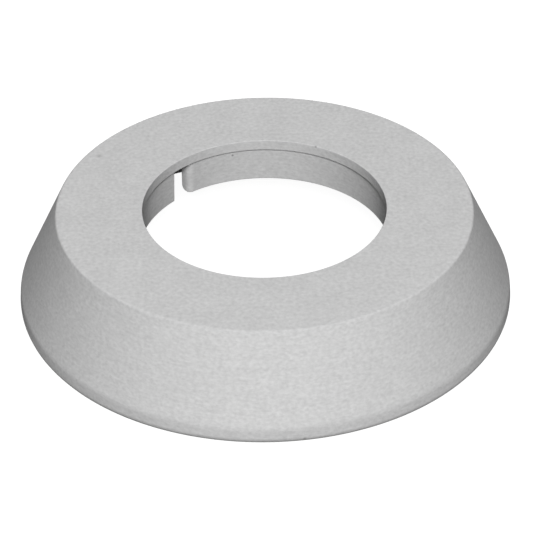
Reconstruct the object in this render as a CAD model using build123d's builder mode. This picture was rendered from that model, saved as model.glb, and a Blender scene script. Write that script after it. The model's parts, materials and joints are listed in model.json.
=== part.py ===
from build123d import *
import os
from math import atan2, cos, radians, sin, tan

# Pipe escutcheon: a one-piece moulded cover ring for a 40 mm waste pipe.
# The foot stands on Z = 0 and the pipe runs along Z. All sizes in millimetres.

# Outer form
foot_diameter = 85.0
top_diameter = 71.0
height = 17.6
land_height = 3.0
land_draft = 5.0
shoulder_radius = 3.0

# Walls
plate_thickness = 2.0
skirt_wall = 2.0
root_chamfer = 0.8

# Pipe and bore
pipe_diameter = 41.0
pipe_clearance = 0.3

# Collar under the plate
collar_step = 0.45
collar_draft = 2.2
collar_wall = 2.3
collar_depth = 6.5

# Slot that splits the collar, its middle measured anticlockwise from +X
slot_width = 3.45
slot_azimuth = 132.8
slot_run_out = 0.5
slot_end_radius = 1.0

# Broken edges: rounded at the foot, bevelled elsewhere
foot_edge_radius = 1.0
top_bevel = 0.2
bore_bevel = 0.15
collar_bevel = 0.2
collar_lead = 0.8

# Radii and levels that follow from the sizes above. The collar's inner face
# opens downwards by its draft, and its outer face is upright.
foot_radius = foot_diameter / 2
top_radius = top_diameter / 2
bore_radius = pipe_diameter / 2 + pipe_clearance
underside = height - plate_thickness
collar_bottom = underside - collar_depth
collar_inner_top = bore_radius + collar_step
collar_inner_foot = collar_inner_top + collar_depth * tan(radians(collar_draft))
collar_outer = collar_inner_top + collar_wall

# The land leans in by its draft. Its lower corner lies out past the foot radius
# by as much as the rounded foot edge takes off there.
draft = radians(land_draft)
foot_corner = foot_radius + foot_edge_radius * (tan(radians(45) + draft / 2) - 1)
land_radius = foot_corner - land_height * tan(draft)

# The skirt leans in from the top of the land. Its inner face is parallel to the
# outer one and meets the upright inner face of the land.
lean = atan2(land_radius - top_radius, height - land_height)
skirt_inner = land_radius - skirt_wall / cos(lean)
skirt_inner_top = skirt_inner - (underside - land_height) * tan(lean)
foot_inner = foot_radius - skirt_wall
land_inner_height = land_height - (foot_inner - skirt_inner) / tan(lean)

with BuildPart() as escutcheon:
    # Half section of the ring, with the radius along X and the height along Y
    with BuildSketch(Plane.XZ) as section:
        with BuildLine():
            Polyline(
                (foot_inner, 0),
                (foot_corner, 0),
                (land_radius, land_height),
                (top_radius, height),
                (bore_radius, height),
                (bore_radius, underside),
                (collar_inner_top, underside),
                (collar_inner_foot, collar_bottom),
                (collar_outer, collar_bottom),
                (collar_outer, underside),
                (skirt_inner_top, underside),
                (foot_inner, land_inner_height),
                close=True,
            )
        make_face()
        rounded_corners = [
            (foot_corner, 0, foot_edge_radius),
            (land_radius, land_height, shoulder_radius),
        ]
        for radius, level, rounding in rounded_corners:
            corner = section.vertices().sort_by_distance((radius, level, 0))[0]
            fillet(corner, radius=rounding)
        bevelled_corners = [
            (top_radius, height, top_bevel),
            (bore_radius, height, bore_bevel),
            (collar_inner_foot, collar_bottom, collar_bevel),
            (collar_outer, collar_bottom, collar_lead),
            (collar_outer, underside, root_chamfer),
            (skirt_inner_top, underside, root_chamfer),
        ]
        for radius, level, bevel in bevelled_corners:
            corner = section.vertices().sort_by_distance((radius, level, 0))[0]
            chamfer(corner, length=bevel)
    revolve(axis=Axis.Z)

    # The slot runs straight out through the collar and its root, up to the plate.
    # Seen from the axis, the collar's end on its clockwise side is well rounded
    # towards the pipe and the other end is square.
    outward = Vector(cos(radians(slot_azimuth)), sin(radians(slot_azimuth)), 0)
    anticlockwise = outward.rotate(Axis.Z, 90)
    slot_plane = Plane(origin=outward * bore_radius, x_dir=anticlockwise, z_dir=outward)
    slot_floor = collar_bottom - slot_run_out
    with BuildSketch(slot_plane):
        with Locations((0, (underside + slot_floor) / 2)):
            Rectangle(slot_width, underside - slot_floor)
    extrude(amount=collar_outer - bore_radius + root_chamfer + slot_run_out, mode=Mode.SUBTRACT)
    end_middle = Vector(0, 0, (underside + collar_bottom) / 2)
    end_place = outward * collar_inner_top - anticlockwise * (slot_width / 2) + end_middle
    end_edge = escutcheon.edges().sort_by_distance(end_place)[0]
    fillet(end_edge, radius=slot_end_radius)

escutcheon.part.label = "escutcheon"

os.makedirs("parts", exist_ok=True)
export_step(escutcheon.part, "parts/escutcheon.step")
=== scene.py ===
import json
from math import atan2, cos, radians, sin, tan

import bmesh
import bpy
import numpy as np
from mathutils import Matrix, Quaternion, Vector


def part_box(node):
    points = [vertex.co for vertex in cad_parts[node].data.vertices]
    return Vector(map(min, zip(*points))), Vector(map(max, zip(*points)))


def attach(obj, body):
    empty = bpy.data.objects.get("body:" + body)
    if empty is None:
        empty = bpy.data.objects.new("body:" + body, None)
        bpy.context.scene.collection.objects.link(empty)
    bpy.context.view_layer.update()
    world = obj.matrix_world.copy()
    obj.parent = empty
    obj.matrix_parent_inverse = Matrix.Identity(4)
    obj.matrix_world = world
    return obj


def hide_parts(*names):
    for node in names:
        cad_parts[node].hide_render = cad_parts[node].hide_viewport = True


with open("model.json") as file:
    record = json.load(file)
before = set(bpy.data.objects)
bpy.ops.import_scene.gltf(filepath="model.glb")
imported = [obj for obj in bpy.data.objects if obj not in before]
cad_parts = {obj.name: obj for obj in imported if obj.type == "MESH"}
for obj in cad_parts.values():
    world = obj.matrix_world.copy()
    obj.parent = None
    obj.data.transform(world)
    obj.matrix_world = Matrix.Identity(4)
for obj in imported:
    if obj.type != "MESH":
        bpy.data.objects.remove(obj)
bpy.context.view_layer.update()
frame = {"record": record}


# Escutcheon
# A cover ring of light grey plastic, injection moulded in one shot. A flat plate and a conical skirt
# on a short steep land make the shell, and a split collar hangs from the plate round the pipe.
MM = 0.001
far_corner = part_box("escutcheon")[1]
mounts = {mount["name"]: mount for mount in frame["record"]["mounts"]}

foot_radius = far_corner.x
height = far_corner.z
bore_radius = mounts["pipe_bore"]["dims"]["r_mm"] * MM
top_radius = 35.5 * MM
land_height = 3.0 * MM
land_draft = radians(5)
wall = 2.0 * MM
collar_step = 0.45 * MM
collar_draft = radians(2.2)
collar_depth = 6.5 * MM
collar_wall = 2.3 * MM
slot_width = 3.45 * MM
slot_azimuth = radians(132.8)

# Roundings, from the broad shoulder over the land to the nearly sharp edges inside. One end of the
# collar is well rounded towards the pipe, and the other is square.
shoulder_rounding = 3.0 * MM
foot_rounding = 1.2 * MM
collar_lead_rounding = 1.0 * MM
round_end_rounding = 1.0 * MM
root_rounding = 0.9 * MM
top_rounding = 0.5 * MM
foot_inner_rounding = 0.5 * MM
round_end_lift = 0.25 * MM
edge_rounding = 0.2 * MM
crease_rounding = 0.18 * MM
bore_rounding = 0.15 * MM

# Radii and levels that follow. The land's lower corner lies out past the foot radius by as much as
# its rounding takes off there.
underside = height - wall
collar_bottom = underside - collar_depth
collar_inner = bore_radius + collar_step
collar_inner_foot = collar_inner + collar_depth * tan(collar_draft)
collar_outer = collar_inner + collar_wall
foot_corner = foot_radius + foot_rounding * (tan(radians(45) + land_draft / 2) - 1)
land_radius = foot_corner - land_height * tan(land_draft)
lean = atan2(land_radius - top_radius, height - land_height)
skirt_inner = land_radius - wall / cos(lean)
skirt_inner_top = skirt_inner - (underside - land_height) * tan(lean)
foot_inner = foot_radius - wall
land_inner = land_height - (foot_inner - skirt_inner) / tan(lean)

# Half section of the ring, corner by corner: radius, level, rounding
section_corners = np.array([
    (foot_inner, 0, foot_inner_rounding),
    (foot_corner, 0, foot_rounding),
    (land_radius, land_height, shoulder_rounding),
    (top_radius, height, top_rounding),
    (bore_radius, height, bore_rounding),
    (bore_radius, underside, crease_rounding),
    (collar_inner, underside, crease_rounding),
    (collar_inner_foot, collar_bottom, edge_rounding),
    (collar_outer, collar_bottom, collar_lead_rounding),
    (collar_outer, underside, root_rounding),
    (skirt_inner_top, underside, root_rounding),
    (foot_inner, land_inner, root_rounding),
])
collar_first_corner = 6
collar_last_corner = 9


def rounded_outline(corners, steps, hold):
    """Points of a closed outline with rounded corners, as an array of corner, point, (radius, level).

    A circle of the corner's rounding touches both straight sides at rounding / tan(half the corner's
    angle) from the corner. The arc turns the circle's first spoke into its last in equal steps. One
    more point on each side, hold away from the arc, keeps the straight stretches flat in the shading.
    """
    point, rounding = corners[:, :2], corners[:, 2:]
    back = np.roll(point, 1, axis=0) - point
    back /= np.linalg.norm(back, axis=1, keepdims=True)
    on = np.roll(point, -1, axis=0) - point
    on /= np.linalg.norm(on, axis=1, keepdims=True)
    half = np.arccos((back * on).sum(axis=1, keepdims=True)) / 2
    reach = rounding / np.tan(half)
    inward = (back + on) / np.linalg.norm(back + on, axis=1, keepdims=True)
    centre = (point + inward * rounding / np.sin(half))[:, None]
    first = (point + back * reach)[:, None] - centre
    last = (point + on * reach)[:, None] - centre
    turn = (np.pi - 2 * half)[:, None]
    share = np.linspace(0, 1, steps + 1)[None, :, None]
    arc = centre + (np.sin((1 - share) * turn) * first + np.sin(share * turn) * last) / np.sin(turn)
    before = (point + back * (reach + hold))[:, None]
    after = (point + on * (reach + hold))[:, None]
    return np.concatenate([before, arc, after], axis=1)


def ring_columns(columns_round, end_steps, slot_steps):
    """Columns round the ring: azimuth, distance from the square and round end, and in the slot or not.

    Columns run anticlockwise from the slot: close together over the collar's square end, evenly round
    the ring, close together over its round end, and back across the slot. An end's columns stand
    where equal steps of angle round its rounding fall. Both edges of the slot have two columns, one
    with the collar and one without, and the collar's end face lies between them. A column that isn't
    near an end counts as a foot radius away from it.
    """
    quarter = np.linspace(0, np.pi / 2, end_steps)
    square_end = edge_rounding * (1 - np.cos(quarter))
    round_end = round_end_rounding * (1 - np.cos(quarter))[::-1]
    across = np.linspace(-slot_width / 2, slot_width / 2, slot_steps)
    first = np.arcsin((slot_width / 2 + square_end) / collar_inner)
    last = 2 * np.pi - np.arcsin((slot_width / 2 + round_end) / collar_inner)
    middle = np.linspace(first[-1], last[0], columns_round)[1:-1]
    gap = 2 * np.pi + np.arcsin(across / collar_inner)
    azimuth = slot_azimuth + np.concatenate([first, middle, last, gap])
    far_from_square = np.full(len(middle) + len(last), foot_radius)
    from_square_end = np.concatenate([square_end, far_from_square, slot_width / 2 - across])
    far_from_round = np.full(len(first) + len(middle), foot_radius)
    from_round_end = np.concatenate([far_from_round, round_end, slot_width / 2 + across])
    in_slot = np.arange(len(azimuth)) >= len(azimuth) - len(gap)
    return azimuth, from_square_end, from_round_end, in_slot


def rounding_drop(distance, rounding):
    """How far a rounded edge falls back from its flat face, at a distance from the edge's other face.

    On a circle that is the rounding, less the root of its square less the square of what the
    distance falls short of it.
    """
    short = np.clip(rounding - distance, 0, rounding)
    return rounding - np.sqrt(rounding ** 2 - short ** 2)


def ring_points(outline, columns, parallel_reach):
    """The section carried round the axis, as an array of column, section point, (x, y, z).

    At the ends the collar's two walls draw in by the roundings of the end's upright edges, and the
    round end's bottom lifts a little. Over the slot the collar's points lie on the plate's underside,
    spread over the width of its wall. Near the slot the collar's columns turn by
    arcsin(offset / radius), which makes the two end faces parallel: in full up to parallel_reach from
    the slot's middle, and fading out by twice that.
    """
    azimuth, from_square_end, from_round_end, in_slot = [a[:, None] for a in columns]
    per_corner = outline.shape[1]
    radius, level = outline.reshape(-1, 2).T
    count = len(radius)
    collar = np.zeros(count, bool)
    collar[collar_first_corner * per_corner:(collar_last_corner + 1) * per_corner] = True

    # The collar's ends: bottom lifted, walls drawn in
    hang = collar * np.clip((underside - root_rounding - level) / (collar_depth - root_rounding), 0, 1)
    lifted = level + hang * rounding_drop(from_round_end, round_end_lift)
    wall_middle = (collar_outer + collar_inner_foot) / 2
    half_wall = (collar_outer - collar_inner_foot) / 2
    side = np.clip((wall_middle - radius) / half_wall, -1, 1)
    square_drop = rounding_drop(from_square_end, edge_rounding)
    inner_drop = square_drop + rounding_drop(from_round_end, round_end_rounding)
    outer_drop = rounding_drop(np.minimum(from_square_end, from_round_end), edge_rounding)
    drawn_in = radius + collar * side * np.where(side > 0, inner_drop, outer_drop)

    # The slot: points of the missing collar spread along the plate's underside
    length = np.concatenate([[0], np.hypot(np.diff(radius), np.diff(level)).cumsum()])
    wall_start = collar_first_corner * per_corner
    root_start = collar_last_corner * per_corner + 1
    share = (length - length[wall_start]) / (length[root_start] - length[wall_start])
    spread = drawn_in[:, wall_start:wall_start + 1] * (1 - share) + collar_outer * share
    flat = np.where(np.arange(count) > root_start, radius, spread)
    missing = in_slot & collar
    radius = np.where(missing, flat, drawn_in)
    level = np.where(missing, underside, lifted)

    # Columns near the slot, turned to make the end faces parallel
    offset = (azimuth - slot_azimuth + np.pi) % (2 * np.pi) - np.pi
    fade = collar * np.clip(2 - np.abs(offset) / parallel_reach, 0, 1)
    parallel = np.arcsin(np.clip(collar_inner * np.sin(offset) / radius, -1, 1))
    turned = azimuth + fade * (parallel - offset)
    return np.stack([radius * np.cos(turned), radius * np.sin(turned), level], axis=-1)


def grid_mesh(name, points, merge, sharp):
    """A mesh on a grid that closes in both directions.

    Each quad joins a point to the next one across, along and across both. Points closer than merge
    become one, and edges that turn by more than sharp stay sharp in the shading.
    """
    across, along = np.meshgrid(*[np.arange(n) for n in points.shape[:2]], indexing="ij")
    across_next = (across + 1) % points.shape[0]
    along_next = (along + 1) % points.shape[1]
    corners = [(across, along), (across_next, along), (across_next, along_next), (across, along_next)]
    quads = np.stack([i * points.shape[1] + j for i, j in corners], axis=-1)
    mesh = bpy.data.meshes.new(name)
    mesh.from_pydata(points.reshape(-1, 3).tolist(), [], quads.reshape(-1, 4).tolist())
    work = bmesh.new()
    work.from_mesh(mesh)
    bmesh.ops.remove_doubles(work, verts=work.verts, dist=merge)
    bmesh.ops.recalc_face_normals(work, faces=work.faces)
    work.to_mesh(mesh)
    work.free()
    mesh.shade_smooth()
    mesh.set_sharp_from_angle(angle=sharp)
    return mesh


outline = rounded_outline(section_corners, steps=6, hold=0.03 * MM)
columns = ring_columns(columns_round=480, end_steps=13, slot_steps=9)
points = ring_points(outline, columns, parallel_reach=radians(8))
ring_mesh = grid_mesh("moulded_ring", points, merge=0.0005 * MM, sharp=radians(35))
ring = bpy.data.objects.new("moulded_ring", ring_mesh)
bpy.context.scene.collection.objects.link(ring)


def linear(hex_colour):
    """Linear RGBA of an sRGB hex colour, by the standard sRGB curve."""
    srgb = np.array([int(hex_colour[i:i + 2], 16) for i in (1, 3, 5)]) / 255
    rgb = np.where(srgb <= 0.04045, srgb / 12.92, ((srgb + 0.055) / 1.055) ** 2.4)
    return (*rgb.tolist(), 1.0)


def add(tree, kind, inputs, **settings):
    """Adds a node with its settings. Each input is a socket to link from, or a value to set."""
    made = tree.nodes.new(kind)
    for name, value in settings.items():
        setattr(made, name, value)
    for name, value in inputs.items():
        if isinstance(value, bpy.types.NodeSocket):
            tree.links.new(value, made.inputs[name])
        else:
            made.inputs[name].default_value = value
    return made


# Grey polypropylene, moulded in a turned and spark-eroded tool: a matt grey that takes light evenly,
# with a finely mottled tone and faint level streaks from the tool's turning. The grain is really about
# 0.1 mm wide and wouldn't show, so the mottle is drawn 0.7 mm long and the relief 0.35 mm wide.
mottle_length = 0.7 * MM
mottle_width = 0.42 * MM
streak_length = 5.0 * MM
streak_width = 0.4 * MM
streak_share = 0.35
tone_low = "#B1B1B1"
tone_high = "#E4E4E4"
grain_size = 0.35 * MM
grain_depth = 0.02 * MM
roughness = 0.9
refraction = 1.49
specular = 0.15
plastic = bpy.data.materials.new("moulded grey polypropylene")
plastic.use_nodes = True
tree = plastic.node_tree
tree.nodes.clear()
place = add(tree, "ShaderNodeTexCoord", {}).outputs["Object"]


def level_noise(length, width):
    """Noise in level patches of one length along the floor and one width up the ring."""
    scale = (1 / length, 1 / length, 1 / width)
    drawn_out = add(tree, "ShaderNodeMapping", {"Vector": place, "Scale": scale}).outputs[0]
    noise = add(tree, "ShaderNodeTexNoise", {"Vector": drawn_out, "Scale": 1.0, "Detail": 2.0})
    return noise.outputs["Fac"]


# A colour mix takes its share in socket 0 and its two colours in 6 and 7, and gives its result in 2
mottle = level_noise(mottle_length, mottle_width)
streaks = level_noise(streak_length, streak_width)
both = add(tree, "ShaderNodeMath", {0: streaks, 1: streak_share, 2: mottle}, operation="MULTIPLY_ADD")
evened = add(tree, "ShaderNodeMapRange", {"Value": both.outputs[0], "From Max": 1 + streak_share})
tone = add(tree, "ShaderNodeMix", {0: evened.outputs[0], 6: linear(tone_low), 7: linear(tone_high)},
           data_type="RGBA")

# Small dark marks on the ring, some of them painted shade: place and width in millimetres, and how dark.
# The first is a speck of dirt on the plate. The second and the last are painted shade, for a tiny pit in
# the collar just under the plate and for a small notch in the foot's edge.
speck_and_shade_tone = "#484848"
specks_and_painted_shade = [
    ((-28.9, 16.4, 17.6), 1.7, 0.22),
    # painted shade: a dark spot standing in for the shade in a tiny pit in the collar
    ((-5.53, 20.54, 14.72), 0.7, 0.7),
    ((9.2, 18.66, 17.5), 0.7, 0.5),
    # painted shade: a dark spot standing in for the shade in a small notch at the foot's edge
    ((6.0, -42.0, 0.9), 0.9, 0.5),
]
for spot, width, darkness in specks_and_painted_shade:
    away = add(tree, "ShaderNodeVectorMath", {0: place, 1: Vector(spot) * MM}, operation="DISTANCE")
    strength = add(tree, "ShaderNodeMapRange", {
        "Value": away.outputs["Value"], "From Max": width * MM / 2, "To Min": darkness, "To Max": 0.0,
    }, interpolation_type="SMOOTHSTEP")
    tone = add(tree, "ShaderNodeMix", {0: strength.outputs[0], 6: tone.outputs[2], 7: linear(speck_and_shade_tone)},
               data_type="RGBA")

grain = add(tree, "ShaderNodeTexNoise", {"Vector": place, "Scale": 1 / grain_size, "Detail": 1.0})
relief = add(tree, "ShaderNodeBump", {"Height": grain.outputs["Fac"], "Distance": grain_depth})
surface = add(tree, "ShaderNodeBsdfPrincipled", {
    "Base Color": tone.outputs[2], "Roughness": roughness, "IOR": refraction,
    "Specular IOR Level": specular, "Normal": relief.outputs["Normal"],
})
add(tree, "ShaderNodeOutputMaterial", {"Surface": surface.outputs["BSDF"]})
ring.data.materials.append(plastic)

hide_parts("escutcheon")
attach(ring, "root")


# Floor
# A wide sheet that the ring stands on. It shows as white card with the ring's soft shadow on it, and
# throws little light back up, as the dark sides of the ring in the photo ask for.
floor_side = 4.0
floor_glow = 0.95
floor_tone = "#808080"
floor_bounce_tone = "#383838"
white_tone = "#FFFFFF"


def seen_directly(tree):
    """1 for rays from the camera, from a reflection or through a clear material, 0 for other light."""
    path = add(tree, "ShaderNodeLightPath", {}).outputs
    mirrored = add(tree, "ShaderNodeMath", {0: path["Is Camera Ray"], 1: path["Is Glossy Ray"]},
                   operation="MAXIMUM")
    clear = add(tree, "ShaderNodeMath", {0: mirrored.outputs[0], 1: path["Is Transmission Ray"]},
                operation="MAXIMUM")
    return clear.outputs[0]


floor_mesh = bpy.data.meshes.new("floor")
floor_corners = np.array([(-1, -1, 0), (1, -1, 0), (1, 1, 0), (-1, 1, 0)]) * floor_side / 2
floor_mesh.from_pydata(floor_corners.tolist(), [], [(0, 1, 2, 3)])
floor = bpy.data.objects.new("floor", floor_mesh)
bpy.context.scene.collection.objects.link(floor)
card = bpy.data.materials.new("white card")
card.use_nodes = True
tree = card.node_tree
tree.nodes.clear()
dull = add(tree, "ShaderNodeBsdfDiffuse", {"Color": linear(floor_bounce_tone)})
shaded = add(tree, "ShaderNodeBsdfDiffuse", {"Color": linear(floor_tone)})
lit = add(tree, "ShaderNodeEmission", {"Color": linear(white_tone), "Strength": floor_glow})
white = add(tree, "ShaderNodeAddShader", {0: shaded.outputs[0], 1: lit.outputs[0]})
mixed = add(tree, "ShaderNodeMixShader", {
    0: seen_directly(tree), 1: dull.outputs[0], 2: white.outputs[0],
})
add(tree, "ShaderNodeOutputMaterial", {"Surface": mixed.outputs[0]})
floor.data.materials.append(card)


# Light
# One soft lamp in front, a little above the camera, and a weaker one behind. The world is white where
# it is seen and gives no light.
lamp_distance = 1.3
lamp_side = 0.4
key_azimuth = radians(-88)
key_elevation = radians(42)
key_power = 17.5
back_azimuth = radians(90)
back_elevation = radians(35)
back_power = 5.9


def soft_lamp(name, azimuth, elevation, power):
    """A square lamp that faces the ring from an azimuth, anticlockwise from +X, and an elevation."""
    data = bpy.data.lights.new(name, "AREA")
    data.shape = "SQUARE"
    data.size = lamp_side
    data.energy = power
    lamp = bpy.data.objects.new(name, data)
    towards = Vector((cos(azimuth) * cos(elevation), sin(azimuth) * cos(elevation), sin(elevation)))
    lamp.location = towards * lamp_distance
    lamp.rotation_euler = (-towards).to_track_quat("-Z", "Y").to_euler()
    bpy.context.scene.collection.objects.link(lamp)


soft_lamp("key", key_azimuth, key_elevation, key_power)
soft_lamp("back", back_azimuth, back_elevation, back_power)

room = bpy.data.worlds.new("room")
bpy.context.scene.world = room
room.use_nodes = True
tree = room.node_tree
tree.nodes.clear()
backdrop = add(tree, "ShaderNodeBackground", {
    "Color": linear(white_tone), "Strength": seen_directly(tree),
})
add(tree, "ShaderNodeOutputWorld", {"Surface": backdrop.outputs[0]})
bpy.context.scene.view_settings.view_transform = "Standard"


# Camera
# A long lens in front of the ring, looking down on it. Its place, its turn and its focal length, in
# pixels of the square picture, were fitted to the edges that the photo shows.
camera_elevation = radians(35.9353)
camera_distance = 425.83 * MM
camera_roll = radians(-0.6473)
camera_near = 10 * MM
focal_pixels = 2440.78
picture_pixels = 540
aim = Vector((0.8397, 0, 4.2288)) * MM
camera_data = bpy.data.cameras.new("camera")
camera_data.lens = focal_pixels / picture_pixels * camera_data.sensor_width
camera_data.clip_start = camera_near
camera = bpy.data.objects.new("camera", camera_data)
camera.location = Vector((0, -cos(camera_elevation), sin(camera_elevation))) * camera_distance
camera.rotation_mode = "QUATERNION"
look = (aim - camera.location).to_track_quat("-Z", "Y")
camera.rotation_quaternion = look @ Quaternion((0, 0, 1), camera_roll)
bpy.context.scene.collection.objects.link(camera)
bpy.context.scene.camera = camera
